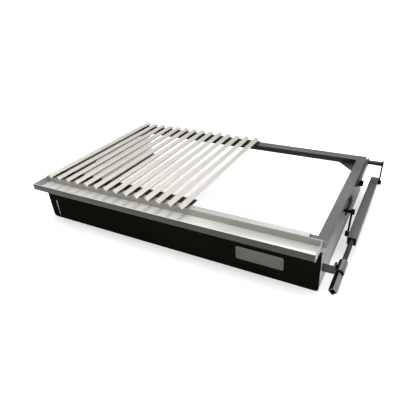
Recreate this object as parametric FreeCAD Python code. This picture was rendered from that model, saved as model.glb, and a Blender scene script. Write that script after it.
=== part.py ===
import math
import os

import FreeCAD
import Part

# Built-in barbecue grill with a lift-up cooking frame, a drip tray along the front
# and a screw drive on the right-hand side.
# Every length is in millimetres.  While building, x runs from the left end of the
# drip tray to the right, y from the front lip of the tray to the back, and z up
# from the top of that lip.  Each piece is moved to the finished frame on export.

os.makedirs("parts", exist_ok=True)

V = FreeCAD.Vector

# Overall sizes.
WIDTH = 1000.0            # length of the drip tray, left to right
MID_X = WIDTH / 2
BASE_Z = -160.0           # lower edge of the case, where the grill rests
SHEET = 2.0               # sheet of the front panel

# Clearances.
SLIP = 0.08               # radial clearance of a turning pin in its hole
SEAT = 0.05               # radial gap of a pin welded or pressed in its hole
AIR = 0.3                 # gap between faces that lie on one another

# Cooking frame.
TUBE_H = 20.0
TUBE_WALL = 2.0
FRAME_TOP = -1.7
FRAME_LOW = FRAME_TOP - TUBE_H
RAIL_W = 29.0
RAIL_OUT = WIDTH + 11.0   # outer face of the right rail
RAIL_IN = RAIL_OUT - RAIL_W
FRONT_BAR_Y = 68.0
FRONT_BAR_W = 20.0
FRONT_BAR_END_Y = FRONT_BAR_Y + FRONT_BAR_W
REAR_BAR_Y = 598.0
REAR_BAR_W = 39.0
FRAME_END_Y = REAR_BAR_Y + REAR_BAR_W
GUSSET_X = 58.0
GUSSET_Y = 62.0
GUSSET_T = 4.0
CAP_T = 2.0

# Drip tray.
TRAY_SHEET = 1.5
TRAY_DEPTH = FRONT_BAR_Y - 1.0
TRAY_LIP = 3.0            # turned-in top edge at the front
TRAY_SEAT = 0.1           # gap under the edge that the tray hangs on
FLANGE_T = 1.2
FLANGE_RISE = 3.9         # top of the flange above the frame
FLANGE_TOP = FRAME_TOP + FLANGE_RISE
FLANGE_END_Y = FRONT_BAR_END_Y
FLANGE_SIDE = 38.0        # the flange stops this far from each end

# Rack of v-shaped bars.
BAR_COUNT = 14
BAR_PITCH = 42.1
BAR_FIRST_X = 23.0
BAR_W = 23.6
BAR_H = 12.0
BAR_LOW = FLANGE_TOP + AIR
BAR_TOP = BAR_LOW + BAR_H
BAR_SHEET = 1.5
BAR_FRONT_Y = FRONT_BAR_Y - 15.0
BAR_REAR_Y = FRAME_END_Y + 8.0
STRIP_FRONT_Y = FRONT_BAR_END_Y + 4.0
STRIP_REAR_Y = REAR_BAR_Y + 5.0
STRIP_W = 30.0

# Case.
CASE_OUT = WIDTH + 4.5    # outer face of the right end of the case
PANEL_Y = 50.0
PANEL_TOP = FRAME_LOW - 2.3
PANEL_CORNER = 12.0
PANEL_RETURN = 16.0
SLIT_X = 26.0
SLIT_W = 6.0
SLIT_DOWN = 64.0          # from the top of the panel
SLIT_LOW = 6.0
SLIT_TOP = PANEL_TOP - SLIT_DOWN
SIDE_T = 3.0
SIDE_OUT = CASE_OUT - SHEET - 0.1
SIDE_TOP = FRAME_LOW - AIR
FOOT_W = 22.0
PLATE_W = 146.0
PLATE_H = 44.0
PLATE_T = 1.2
PLATE_CORNER = 5.0
PLATE_DOWN = 52.0         # from the top of the panel
PLATE_FROM_END = 243.0    # left edge of the plate to the right end of the tray
RIVET_R = 2.6
RIVET_IN = 7.0
PLATE_X = WIDTH - PLATE_FROM_END
PLATE_TOP = PANEL_TOP - PLATE_DOWN

# Lifting gear.
PIVOT_Z = FRAME_LOW - 8.3
REAR_SHAFT_Y = FRAME_END_Y + 18.0
SIDE_END_Y = REAR_SHAFT_Y + 16.0
ARM_LENGTH = 178.0
REAR_SHAFT_R = 8.0
FRONT_SHAFT_R = 5.0
REAR_BOSS_R = 14.0
FRONT_BOSS_R = 7.3
BOSS_LONG = 6.0
ARM_T = 6.0
REAR_ARM_H = 28.0
REAR_ARM_IN = RAIL_OUT + 1.0
FRONT_ARM_H = 15.0
FRONT_ARM_OUT = SIDE_OUT - SIDE_T - 8.4
ARM_PIN_R = 5.0
REAR_LUG_IN = CASE_OUT + 1.0
FRONT_LUG_IN = FRONT_ARM_OUT + 1.0
LUG_T = 5.2
LUG_W = 24.0
LUG_LOW = PIVOT_Z - 10.0
STRAP_T = 4.0
STRAP_IN = RAIL_OUT + 4.0
STRAP_LONG = 72.0         # from the front shaft to the rear spacer
STRAP_HALF = 15.0
SPACER_R = 5.0
KNOB_R = 11.0
KNOB_T = 12.0
CRANK_Y = 30.0            # the crank pin stands this far forward of its shaft
CRANK_Z = 60.0            # and this far below it
CRANK_T = 5.0
CRANK_W = 13.0
CRANK_PIN_R = 4.0
LOBE_R = 9.5
PIN_HEAD_R = 8.5
PIN_HEAD_T = 5.0
SHAFT_NUT_T = 5.0

# Screw drive.
DRIVE_OUT = 51.0          # the drive line lies this far outside the tray's end
DRIVE_X = WIDTH + DRIVE_OUT
DRIVE_Z = PIVOT_Z - CRANK_Z
TUBE_S = 27.0
DRIVE_WALL = 2.0
TUBE_MOUTH_Y = 219.0
TUBE_END_Y = REAR_SHAFT_Y - CRANK_Y + 11.0
LINK_BACK = 35.0          # the link pin lies this far behind the mouth
FRONT_SHAFT_Y = TUBE_MOUTH_Y + LINK_BACK + CRANK_Y
NUT_LONG = 12.0
NUT_Y = TUBE_MOUTH_Y + 2.0
SCREW_R = 7.0
SCREW_TIP_Y = NUT_Y + NUT_LONG + 7.0
NUT_FREE = 2.1            # the nut clears the screw by this much all round
SLEEVE_R = 12.5
SLEEVE_LONG = 48.0
SLEEVE_Y = PANEL_Y + PANEL_RETURN
SLEEVE_END_Y = SLEEVE_Y + SLEEVE_LONG
SWIVEL_Y = (SLEEVE_Y + SLEEVE_END_Y) / 2
SWIVEL_PIN_R = 4.0
COLLAR_R = 11.0
COLLAR_LONG = 7.5
SOCKET_S = 16.5
SOCKET_WALL = 1.5
SOCKET_LONG = 66.0
SOCKET_DEEP = 34.0
BRACKET_Y = SLEEVE_Y + 4.0
BRACKET_T = 5.0
BRACKET_H = 24.0
EAR_T = 5.0

SOCKET_BACK = SLEEVE_Y - AIR - COLLAR_LONG - 2.0
SOCKET_Y = SOCKET_BACK - SOCKET_LONG
CRANK_IN = DRIVE_X + TUBE_S / 2 + 1.0
CRANK_OUT = CRANK_IN + CRANK_T
PIN_OUT = CRANK_OUT + PIN_HEAD_T
LINK_OUT = DRIVE_X - TUBE_S / 2 - 2.5
LINK_IN = LINK_OUT - CRANK_T
KNOB_OUT = REAR_ARM_IN + ARM_T + AIR + KNOB_T
EAR_OUT = DRIVE_X - SLEEVE_R - 1.0

# Where the finished frame lies.
# The origin is under the middle of the whole grill, on the ground.
RIGHT_X = PIN_OUT
LEFT_X = WIDTH - KNOB_OUT
CENTRE_X = (RIGHT_X + LEFT_X) / 2
CENTRE_Y = (SOCKET_Y + SIDE_END_Y) / 2


def box(x0, x1, y0, y1, z0, z1):
    return Part.makeBox(x1 - x0, y1 - y0, z1 - z0, V(x0, y0, z0))


def rod_x(radius, x0, x1, y, z):
    return Part.makeCylinder(radius, x1 - x0, V(x0, y, z), V(1, 0, 0))


def rod_y(radius, y0, y1, x, z):
    return Part.makeCylinder(radius, y1 - y0, V(x, y0, z), V(0, 1, 0))


def prism_x(points, x0, x1):
    """A flat outline given as (y, z) pairs, thickened from x0 to x1."""
    corners = [V(x0, y, z) for y, z in points]
    face = Part.Face(Part.makePolygon(corners + corners[:1]))
    return face.extrude(V(x1 - x0, 0, 0))


def prism_y(points, y0, y1):
    """A flat outline given as (x, z) pairs, thickened from y0 to y1."""
    corners = [V(x, y0, z) for x, z in points]
    face = Part.Face(Part.makePolygon(corners + corners[:1]))
    return face.extrude(V(0, y1 - y0, 0))


def bar_x(radius_a, a, radius_b, b, half, x0, x1):
    """A flat bar between two round ends, lying in a plane across x."""
    dy = b[0] - a[0]
    dz = b[1] - a[1]
    size = math.hypot(dy, dz)
    ny = -dz / size * half
    nz = dy / size * half
    outline = [
        (a[0] + ny, a[1] + nz),
        (b[0] + ny, b[1] + nz),
        (b[0] - ny, b[1] - nz),
        (a[0] - ny, a[1] - nz),
    ]
    body = prism_x(outline, x0, x1)
    body = body.fuse(rod_x(radius_a, x0, x1, a[0], a[1]))
    body = body.fuse(rod_x(radius_b, x0, x1, b[0], b[1]))
    return body.removeSplitter()


def mirror(shape):
    return shape.mirror(V(MID_X, 0, 0), V(1, 0, 0))


def save(shape, node):
    placed = shape.copy()
    placed.translate(V(-CENTRE_X, -CENTRE_Y, -BASE_Z))
    placed.exportStep("parts/" + node + ".step")


def save_both(shape, node):
    """The same small piece on both sides, kept as one group."""
    save(Part.makeCompound([shape, mirror(shape)]), node)


def save_pair(shape, node):
    save(shape, node + "_right")
    save(mirror(shape), node + "_left")


# Case: front panel, side plates and what is fixed on them.
LEFT_OUT = WIDTH - CASE_OUT

panel = box(LEFT_OUT, CASE_OUT, PANEL_Y, PANEL_Y + SHEET, BASE_Z, PANEL_TOP)
corner_edges = []
for edge in panel.Edges:
    if abs(edge.tangentAt(edge.FirstParameter).y) > 0.99:
        corner_edges.append(edge)
panel = panel.makeFillet(PANEL_CORNER, corner_edges)
back_y = PANEL_Y + SHEET
return_y = PANEL_Y + PANEL_RETURN
return_top = PANEL_TOP - PANEL_CORNER
return_low = BASE_Z + PANEL_CORNER
for x0 in (LEFT_OUT, CASE_OUT - SHEET):
    panel = panel.fuse(box(x0, x0 + SHEET, back_y, return_y, return_low, return_top))
stiff_in = LEFT_OUT + PANEL_CORNER
stiff_out = CASE_OUT - PANEL_CORNER
panel = panel.fuse(box(stiff_in, stiff_out, back_y, return_y, BASE_Z, BASE_Z + SHEET))
panel = panel.fuse(box(stiff_in, stiff_out, back_y, return_y - 2, PANEL_TOP - SHEET, PANEL_TOP))
slit = box(SLIT_X, SLIT_X + SLIT_W, PANEL_Y - 1, back_y + 1, BASE_Z + SLIT_LOW, SLIT_TOP)
slit = slit.fuse(rod_y(SLIT_W / 2, PANEL_Y - 1, back_y + 1, SLIT_X + SLIT_W / 2, SLIT_TOP))
panel = panel.cut(slit).removeSplitter()
rivet_z = PLATE_TOP - PLATE_H / 2
rivet_places = (PLATE_X + RIVET_IN, PLATE_X + PLATE_W - RIVET_IN)
for x in rivet_places:
    panel = panel.cut(rod_y(RIVET_R / 2 + SEAT, PANEL_Y - 1, back_y + 1, x, rivet_z))
save(panel, "front_panel")

name_plate = box(PLATE_X, PLATE_X + PLATE_W, PANEL_Y - PLATE_T, PANEL_Y,
                 PLATE_TOP - PLATE_H, PLATE_TOP)
short_edges = []
for edge in name_plate.Edges:
    if abs(edge.tangentAt(edge.FirstParameter).y) > 0.99:
        short_edges.append(edge)
name_plate = name_plate.makeFillet(PLATE_CORNER, short_edges)
rivets = []
for x in rivet_places:
    shank = rod_y(RIVET_R / 2, PANEL_Y - PLATE_T, back_y + 0.5, x, rivet_z)
    head = rod_y(RIVET_R, PANEL_Y - PLATE_T - 1.4, PANEL_Y - PLATE_T, x, rivet_z)
    name_plate = name_plate.cut(rod_y(RIVET_R / 2 + SEAT, 0, PANEL_Y, x, rivet_z))
    rivets.append(head.fuse(shank).removeSplitter())
save(name_plate, "name_plate")
save(Part.makeCompound(rivets), "name_plate_rivets")

side_in = SIDE_OUT - SIDE_T
side = box(side_in, SIDE_OUT, back_y + 0.2, SIDE_END_Y, BASE_Z, SIDE_TOP)
side = side.fuse(box(side_in - FOOT_W, side_in, return_y + 1, SIDE_END_Y,
                     BASE_Z, BASE_Z + SIDE_T))
notch_r = REAR_SHAFT_R + 0.5
side = side.cut(rod_x(notch_r, side_in - 1, SIDE_OUT + 1, REAR_SHAFT_Y, PIVOT_Z))
side = side.cut(box(side_in - 1, SIDE_OUT + 1, REAR_SHAFT_Y - notch_r,
                    REAR_SHAFT_Y + notch_r, PIVOT_Z, SIDE_TOP + 1))
side = side.cut(rod_x(FRONT_SHAFT_R + 0.5, side_in - 1, SIDE_OUT + 1, FRONT_SHAFT_Y, PIVOT_Z))
save_pair(side.removeSplitter(), "side_plate")

boss_out = SIDE_OUT + BOSS_LONG
rear_boss = rod_x(REAR_BOSS_R, SIDE_OUT, boss_out, REAR_SHAFT_Y, PIVOT_Z)
rear_boss = rear_boss.cut(rod_x(REAR_SHAFT_R + SLIP, SIDE_OUT - 1, boss_out + 1,
                                REAR_SHAFT_Y, PIVOT_Z))
save_pair(rear_boss, "shaft_bearing")

front_boss = rod_x(FRONT_BOSS_R, SIDE_OUT, boss_out, FRONT_SHAFT_Y, PIVOT_Z)
front_boss = front_boss.cut(rod_x(FRONT_SHAFT_R + SLIP, SIDE_OUT - 1, boss_out + 1,
                                  FRONT_SHAFT_Y, PIVOT_Z))
save_pair(front_boss, "front_pivot_bearing")

low = DRIVE_Z - BRACKET_H / 2
high = DRIVE_Z + BRACKET_H / 2
bracket = box(SIDE_OUT, EAR_OUT, BRACKET_Y, BRACKET_Y + BRACKET_T, low, high)
bracket = bracket.fuse(box(EAR_OUT - EAR_T, EAR_OUT, BRACKET_Y + BRACKET_T, SWIVEL_Y,
                           low, high))
bracket = bracket.fuse(rod_x(BRACKET_H / 2, EAR_OUT - EAR_T, EAR_OUT, SWIVEL_Y, DRIVE_Z))
bracket = bracket.cut(rod_x(SWIVEL_PIN_R + SLIP, EAR_OUT - EAR_T - 1, EAR_OUT + 1,
                            SWIVEL_Y, DRIVE_Z))
save(bracket.removeSplitter(), "sleeve_bracket")

# A strap outside the right rail carries the outer end of the front shaft.
# A spacer ties its rear end to the side plate, under the rail.
strap_out = STRAP_IN + STRAP_T
spacer_y = FRONT_SHAFT_Y + STRAP_LONG
strap = bar_x(STRAP_HALF, (FRONT_SHAFT_Y, PIVOT_Z), STRAP_HALF, (spacer_y, PIVOT_Z),
              STRAP_HALF, STRAP_IN, strap_out)
strap = strap.cut(rod_x(FRONT_SHAFT_R + SLIP, STRAP_IN - 1, strap_out + 1,
                        FRONT_SHAFT_Y, PIVOT_Z))
strap = strap.cut(rod_x(SPACER_R + SEAT, STRAP_IN - 1, strap_out + 1, spacer_y, PIVOT_Z))
save(strap, "pivot_strap")
save(rod_x(SPACER_R, SIDE_OUT, strap_out + 2.0, spacer_y, PIVOT_Z), "strap_spacer")

# Lift shaft with its two rear arms and the drive crank.
shaft_left = WIDTH - REAR_ARM_IN - ARM_T
shaft = rod_x(REAR_SHAFT_R, shaft_left, CRANK_OUT, REAR_SHAFT_Y, PIVOT_Z)
save(shaft, "lift_shaft")

rear_tip_y = REAR_SHAFT_Y - ARM_LENGTH
rear_arm = bar_x(REAR_ARM_H / 2, (REAR_SHAFT_Y, PIVOT_Z), REAR_ARM_H / 2,
                 (rear_tip_y, PIVOT_Z), REAR_ARM_H / 2, REAR_ARM_IN, REAR_ARM_IN + ARM_T)
rear_arm = rear_arm.cut(rod_x(REAR_SHAFT_R + SEAT, REAR_ARM_IN - 1,
                              REAR_ARM_IN + ARM_T + 1, REAR_SHAFT_Y, PIVOT_Z))
rear_arm = rear_arm.cut(rod_x(ARM_PIN_R + SLIP, REAR_ARM_IN - 1,
                              REAR_ARM_IN + ARM_T + 1, rear_tip_y, PIVOT_Z))
save_pair(rear_arm, "rear_arm")

crank_pin_y = REAR_SHAFT_Y - CRANK_Y
crank = bar_x(LOBE_R + 2, (REAR_SHAFT_Y, PIVOT_Z), LOBE_R, (crank_pin_y, DRIVE_Z),
              CRANK_W / 2, CRANK_IN, CRANK_OUT)
crank = crank.cut(rod_x(REAR_SHAFT_R + SEAT, CRANK_IN - 1, CRANK_OUT + 1,
                        REAR_SHAFT_Y, PIVOT_Z))
crank = crank.cut(rod_x(CRANK_PIN_R + SEAT, CRANK_IN - 1, CRANK_OUT + 1,
                        crank_pin_y, DRIVE_Z))
save(crank, "drive_crank")

tube_right = DRIVE_X + TUBE_S / 2
tube_left = DRIVE_X - TUBE_S / 2
crank_pin = rod_x(CRANK_PIN_R, tube_right - DRIVE_WALL - 1, PIN_OUT, crank_pin_y, DRIVE_Z)
crank_pin = crank_pin.fuse(rod_x(PIN_HEAD_R, CRANK_OUT, PIN_OUT, crank_pin_y, DRIVE_Z))
crank_pin = crank_pin.removeSplitter()
save(crank_pin, "crank_pin")

# Front arms, each on a short shaft through the side plate.
front_tip_y = FRONT_SHAFT_Y - ARM_LENGTH
arm_in = FRONT_ARM_OUT - ARM_T
front_arm = bar_x(FRONT_ARM_H / 2, (FRONT_SHAFT_Y, PIVOT_Z), FRONT_ARM_H / 2,
                  (front_tip_y, PIVOT_Z), FRONT_ARM_H / 2, arm_in, FRONT_ARM_OUT)
front_arm = front_arm.cut(rod_x(FRONT_SHAFT_R + SEAT, arm_in - 1, FRONT_ARM_OUT + 1,
                                FRONT_SHAFT_Y, PIVOT_Z))
front_arm = front_arm.cut(rod_x(ARM_PIN_R + SLIP, arm_in - 1, FRONT_ARM_OUT + 1,
                                front_tip_y, PIVOT_Z))
save_pair(front_arm, "front_arm")

front_shaft = rod_x(FRONT_SHAFT_R, arm_in, LINK_OUT + SHAFT_NUT_T, FRONT_SHAFT_Y, PIVOT_Z)
front_shaft = front_shaft.fuse(rod_x(PIN_HEAD_R, LINK_OUT, LINK_OUT + SHAFT_NUT_T,
                                     FRONT_SHAFT_Y, PIVOT_Z))
save(front_shaft.removeSplitter(), "front_shaft_right")
short_end = SIDE_OUT + BOSS_LONG + 1.0
front_left_shaft = rod_x(FRONT_SHAFT_R, arm_in, short_end, FRONT_SHAFT_Y, PIVOT_Z)
front_left_shaft = front_left_shaft.fuse(
    rod_x(FRONT_BOSS_R, short_end, short_end + 3.0, FRONT_SHAFT_Y, PIVOT_Z))
save(mirror(front_left_shaft.removeSplitter()), "front_shaft_left")

link_pin_y = FRONT_SHAFT_Y - CRANK_Y
link = bar_x(LOBE_R, (FRONT_SHAFT_Y, PIVOT_Z), LOBE_R, (link_pin_y, DRIVE_Z),
             CRANK_W / 2 - 1, LINK_IN, LINK_OUT)
link = link.cut(rod_x(FRONT_SHAFT_R + SEAT, LINK_IN - 1, LINK_OUT + 1,
                      FRONT_SHAFT_Y, PIVOT_Z))
link = link.cut(rod_x(CRANK_PIN_R + SEAT, LINK_IN - 1, LINK_OUT + 1, link_pin_y, DRIVE_Z))
save(link, "front_link")
link_pin = rod_x(CRANK_PIN_R, LINK_IN, tube_left + DRIVE_WALL + 1, link_pin_y, DRIVE_Z)
link_pin = link_pin.fuse(rod_x(PIN_HEAD_R, LINK_IN - PIN_HEAD_T, LINK_IN, link_pin_y, DRIVE_Z))
save(link_pin.removeSplitter(), "link_pin")

# Cooking frame.


def hollow_y(x0, x1, y0, y1, z0, z1, wall):
    inner = box(x0 + wall, x1 - wall, y0 - 1, y1 + 1, z0 + wall, z1 - wall)
    return box(x0, x1, y0, y1, z0, z1).cut(inner)


def hollow_x(x0, x1, y0, y1, z0, z1, wall):
    inner = box(x0 - 1, x1 + 1, y0 + wall, y1 - wall, z0 + wall, z1 - wall)
    return box(x0, x1, y0, y1, z0, z1).cut(inner)


rail_front_y = FRONT_BAR_Y + CAP_T
rail_rear_y = FRAME_END_Y - CAP_T
rail = hollow_y(RAIL_IN, RAIL_OUT, rail_front_y, rail_rear_y, FRAME_LOW, FRAME_TOP, TUBE_WALL)
save_pair(rail, "side_rail")
caps = []
for y0 in (FRONT_BAR_Y, rail_rear_y):
    caps.append(box(RAIL_IN, RAIL_OUT, y0, y0 + CAP_T, FRAME_LOW, FRAME_TOP))
group = caps + [mirror(cap) for cap in caps]
save(Part.makeCompound(group), "rail_end_caps")

frame_left = WIDTH - RAIL_IN
front_bar = hollow_x(frame_left, RAIL_IN, FRONT_BAR_Y, FRONT_BAR_END_Y, FRAME_LOW, FRAME_TOP,
                     TUBE_WALL)
save(front_bar, "front_crossbar")
rear_bar = hollow_x(frame_left, RAIL_IN, REAR_BAR_Y, FRAME_END_Y, FRAME_LOW, FRAME_TOP,
                    TUBE_WALL)
save(rear_bar, "rear_crossbar")

corners = [
    V(RAIL_IN, REAR_BAR_Y, FRAME_LOW),
    V(RAIL_IN - GUSSET_X, REAR_BAR_Y, FRAME_LOW),
    V(RAIL_IN, REAR_BAR_Y - GUSSET_Y, FRAME_LOW),
]
gusset = Part.Face(Part.makePolygon(corners + corners[:1])).extrude(V(0, 0, GUSSET_T))
save_pair(gusset, "corner_gusset")


def lug(x0, y, pin_r):
    plate = box(x0, x0 + LUG_T, y - LUG_W / 2, y + LUG_W / 2, LUG_LOW, FRAME_LOW)
    return plate.cut(rod_x(pin_r + SEAT, x0 - 1, x0 + LUG_T + 1, y, PIVOT_Z))


save_both(lug(REAR_LUG_IN, rear_tip_y, ARM_PIN_R), "rear_lugs")
save_both(lug(FRONT_LUG_IN, front_tip_y, ARM_PIN_R), "front_lugs")

arm_out = REAR_ARM_IN + ARM_T + AIR
bolt = rod_x(ARM_PIN_R, REAR_LUG_IN, arm_out, rear_tip_y, PIVOT_Z)
bolt = bolt.fuse(rod_x(KNOB_R, arm_out, arm_out + KNOB_T * 0.45, rear_tip_y, PIVOT_Z))
hexagon = []
for k in range(6):
    angle = math.radians(60 * k)
    hexagon.append((rear_tip_y + KNOB_R * 0.92 * math.cos(angle),
                    PIVOT_Z + KNOB_R * 0.92 * math.sin(angle)))
bolt = bolt.fuse(prism_x(hexagon, arm_out + KNOB_T * 0.45, KNOB_OUT))
save_both(bolt.removeSplitter(), "rear_pivot_bolts")

front_pin = rod_x(ARM_PIN_R, arm_in - AIR, FRONT_LUG_IN + LUG_T, front_tip_y, PIVOT_Z)
front_pin = front_pin.fuse(rod_x(FRONT_ARM_H / 2 - 0.5, arm_in - AIR - 2.5, arm_in - AIR,
                                 front_tip_y, PIVOT_Z))
save_both(front_pin.removeSplitter(), "front_pivot_pins")

# Drip tray.
s = TRAY_SHEET
outline = [
    (0, FRAME_LOW),
    (TRAY_DEPTH, FRAME_LOW),
    (TRAY_DEPTH, FLANGE_TOP - FLANGE_T),
    (FLANGE_END_Y - FLANGE_T, FLANGE_TOP - FLANGE_T),
    (FLANGE_END_Y - FLANGE_T, FRAME_TOP + TRAY_SEAT),
    (FLANGE_END_Y, FRAME_TOP + TRAY_SEAT),
    (FLANGE_END_Y, FLANGE_TOP),
    (TRAY_DEPTH - s, FLANGE_TOP),
    (TRAY_DEPTH - s, FRAME_LOW + s),
    (s, FRAME_LOW + s),
    (s, -s),
    (TRAY_LIP, -s),
    (TRAY_LIP, 0),
    (0, 0),
]
tray = prism_x(outline, s, WIDTH - s)
for x0, x1 in ((0, FLANGE_SIDE), (WIDTH - FLANGE_SIDE, WIDTH)):
    tray = tray.cut(box(x0, x1, TRAY_DEPTH, FLANGE_END_Y + 1, FRAME_TOP, FLANGE_TOP + 1))
save(tray, "drip_tray")
save(box(0, s, 0, TRAY_DEPTH, FRAME_LOW, 0), "tray_end_left")
save(box(WIDTH - s, WIDTH, 0, TRAY_DEPTH, FRAME_LOW, 0), "tray_end_right")

# Rack of v-shaped bars.
flat = 3.0
for k in range(BAR_COUNT):
    left = BAR_FIRST_X + k * BAR_PITCH
    mid = left + BAR_W / 2
    right = left + BAR_W
    edge = BAR_SHEET * 1.35
    outline = [
        (left, BAR_TOP),
        (mid - flat / 2, BAR_LOW),
        (mid + flat / 2, BAR_LOW),
        (right, BAR_TOP),
        (right - edge, BAR_TOP),
        (mid + 0.4, BAR_LOW + BAR_SHEET),
        (mid - 0.4, BAR_LOW + BAR_SHEET),
        (left + edge, BAR_TOP),
    ]
    save(prism_y(outline, BAR_FRONT_Y, BAR_REAR_Y), "v_bar_%02d" % (k + 1))

rack_left = BAR_FIRST_X
rack_right = BAR_FIRST_X + (BAR_COUNT - 1) * BAR_PITCH + BAR_W
front_strip = box(rack_left, rack_right, STRIP_FRONT_Y, STRIP_FRONT_Y + STRIP_W,
                  FRAME_TOP + AIR, BAR_LOW)
rear_strip = box(rack_left, rack_right, STRIP_REAR_Y, STRIP_REAR_Y + STRIP_W,
                 FRAME_TOP + AIR, BAR_LOW)
save(front_strip, "rack_front_strip")
save(rear_strip, "rack_rear_strip")

# Pull tube with its nut.
half = TUBE_S / 2
pull_tube = hollow_y(tube_left, tube_right, TUBE_MOUTH_Y, TUBE_END_Y,
                     DRIVE_Z - half, DRIVE_Z + half, DRIVE_WALL)
pull_tube = pull_tube.cut(rod_x(CRANK_PIN_R + SLIP, tube_right - DRIVE_WALL - 1,
                                tube_right + 1, crank_pin_y, DRIVE_Z))
pull_tube = pull_tube.cut(rod_x(CRANK_PIN_R + SLIP, tube_left - 1,
                                tube_left + DRIVE_WALL + 1, link_pin_y, DRIVE_Z))
save(pull_tube, "pull_tube")
nut_half = half - DRIVE_WALL - SEAT
nut = box(DRIVE_X - nut_half, DRIVE_X + nut_half, NUT_Y, NUT_Y + NUT_LONG,
          DRIVE_Z - nut_half, DRIVE_Z + nut_half)
nut = nut.cut(rod_y(SCREW_R + NUT_FREE, NUT_Y - 1, NUT_Y + NUT_LONG + 1, DRIVE_X, DRIVE_Z))
save(nut, "tube_nut")

# Swivelling sleeve.
sleeve = rod_y(SLEEVE_R, SLEEVE_Y, SLEEVE_END_Y, DRIVE_X, DRIVE_Z)
sleeve = sleeve.cut(rod_y(SCREW_R + SLIP, SLEEVE_Y - 1, SLEEVE_END_Y + 1, DRIVE_X, DRIVE_Z))
pin_end = DRIVE_X - SCREW_R - 3.0
sleeve = sleeve.cut(rod_x(SWIVEL_PIN_R + SEAT, DRIVE_X - SLEEVE_R - 1, pin_end,
                          SWIVEL_Y, DRIVE_Z))
save(sleeve, "sleeve")
save(rod_x(SWIVEL_PIN_R, EAR_OUT - EAR_T, pin_end, SWIVEL_Y, DRIVE_Z), "swivel_pin")

# Screw spindle with its collar and crank socket.
neck_y = SLEEVE_Y - AIR - COLLAR_LONG
spindle = rod_y(SCREW_R, SOCKET_BACK, SCREW_TIP_Y, DRIVE_X, DRIVE_Z)
save(spindle, "screw_spindle")
collar = rod_y(COLLAR_R, neck_y, SLEEVE_Y - AIR, DRIVE_X, DRIVE_Z)
collar = collar.cut(rod_y(SCREW_R + SEAT, neck_y - 1, SLEEVE_Y, DRIVE_X, DRIVE_Z))
save(collar, "thrust_collar")


def square_bar(side_length, y0, y1):
    reach = side_length / math.sqrt(2)
    points = [(DRIVE_X - reach, DRIVE_Z), (DRIVE_X, DRIVE_Z - reach),
              (DRIVE_X + reach, DRIVE_Z), (DRIVE_X, DRIVE_Z + reach)]
    return prism_y(points, y0, y1)


socket = square_bar(SOCKET_S, SOCKET_Y, SOCKET_BACK)
socket = socket.cut(square_bar(SOCKET_S - 2 * SOCKET_WALL, SOCKET_Y - 1, SOCKET_Y + SOCKET_DEEP))
save(socket, "crank_socket")
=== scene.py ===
# %% [markdown]
# # A built-in barbecue grill
#
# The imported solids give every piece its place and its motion.  This script builds
# the visible surfaces on them as arrays of points, paints them with procedural
# materials, and lights them like a product photograph on a pale ground.
#
# The surfaces take their places from the solids, so they follow when a size of the
# grill changes.  Lamps, camera and a few blends of tone have typed places.

# %% Load the frame
import math

import bpy
import numpy as np
from mathutils import Matrix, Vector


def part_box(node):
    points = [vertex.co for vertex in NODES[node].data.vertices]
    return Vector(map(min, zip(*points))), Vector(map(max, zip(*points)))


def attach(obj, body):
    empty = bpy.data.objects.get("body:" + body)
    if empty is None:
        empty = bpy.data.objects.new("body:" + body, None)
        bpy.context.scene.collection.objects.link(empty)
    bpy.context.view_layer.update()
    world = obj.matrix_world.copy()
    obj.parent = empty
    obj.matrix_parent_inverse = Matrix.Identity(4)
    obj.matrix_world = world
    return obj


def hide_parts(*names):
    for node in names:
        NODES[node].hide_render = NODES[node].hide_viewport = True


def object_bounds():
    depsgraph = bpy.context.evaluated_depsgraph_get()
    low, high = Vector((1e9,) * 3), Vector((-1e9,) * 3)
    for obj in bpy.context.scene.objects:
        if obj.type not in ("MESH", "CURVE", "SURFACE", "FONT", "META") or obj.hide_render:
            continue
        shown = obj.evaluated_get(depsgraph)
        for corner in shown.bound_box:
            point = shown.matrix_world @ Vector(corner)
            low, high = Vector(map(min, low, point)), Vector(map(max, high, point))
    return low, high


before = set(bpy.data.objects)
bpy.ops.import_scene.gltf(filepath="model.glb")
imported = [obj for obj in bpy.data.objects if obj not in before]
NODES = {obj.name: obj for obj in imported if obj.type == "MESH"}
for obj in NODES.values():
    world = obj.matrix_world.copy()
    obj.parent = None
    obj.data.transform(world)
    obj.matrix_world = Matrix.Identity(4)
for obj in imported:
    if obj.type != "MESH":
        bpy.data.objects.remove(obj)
first_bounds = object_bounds()
RNG = np.random.default_rng(7)
MM = 0.001


def corners(node):
    """Lowest and highest corner of a solid as two arrays, in metres."""
    low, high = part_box(node)
    return np.array(low, float), np.array(high, float)


print("nodes:", len(NODES))
print("size in mm:", np.round((np.array(first_bounds[1]) - first_bounds[0]) / MM, 1))

# %% [markdown]
# ## From points to a piece
#
# A mesh is a list of points and a list of faces that name them by number.  It could
# be built corner by corner with bmesh, but one call with whole arrays is shorter and
# much faster.  Faces have to look outwards, or light and walls come out wrong.  The
# signed volume tells: it is the sum of a . (b x c) / 6 over all triangles a, b, c, and
# if it comes out negative, the faces look inwards and are turned round.

# %% Points and faces
def signed_volume(points, faces):
    """Sum of a . (b x c) / 6 over the triangles of a fan in each face."""
    fan = np.array([(f[0], f[k], f[k + 1]) for f in faces for k in range(1, len(f) - 1)])
    a, b, c = points[fan[:, 0]], points[fan[:, 1]], points[fan[:, 2]]
    return float((a * np.cross(b, c)).sum()) / 6.0


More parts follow.
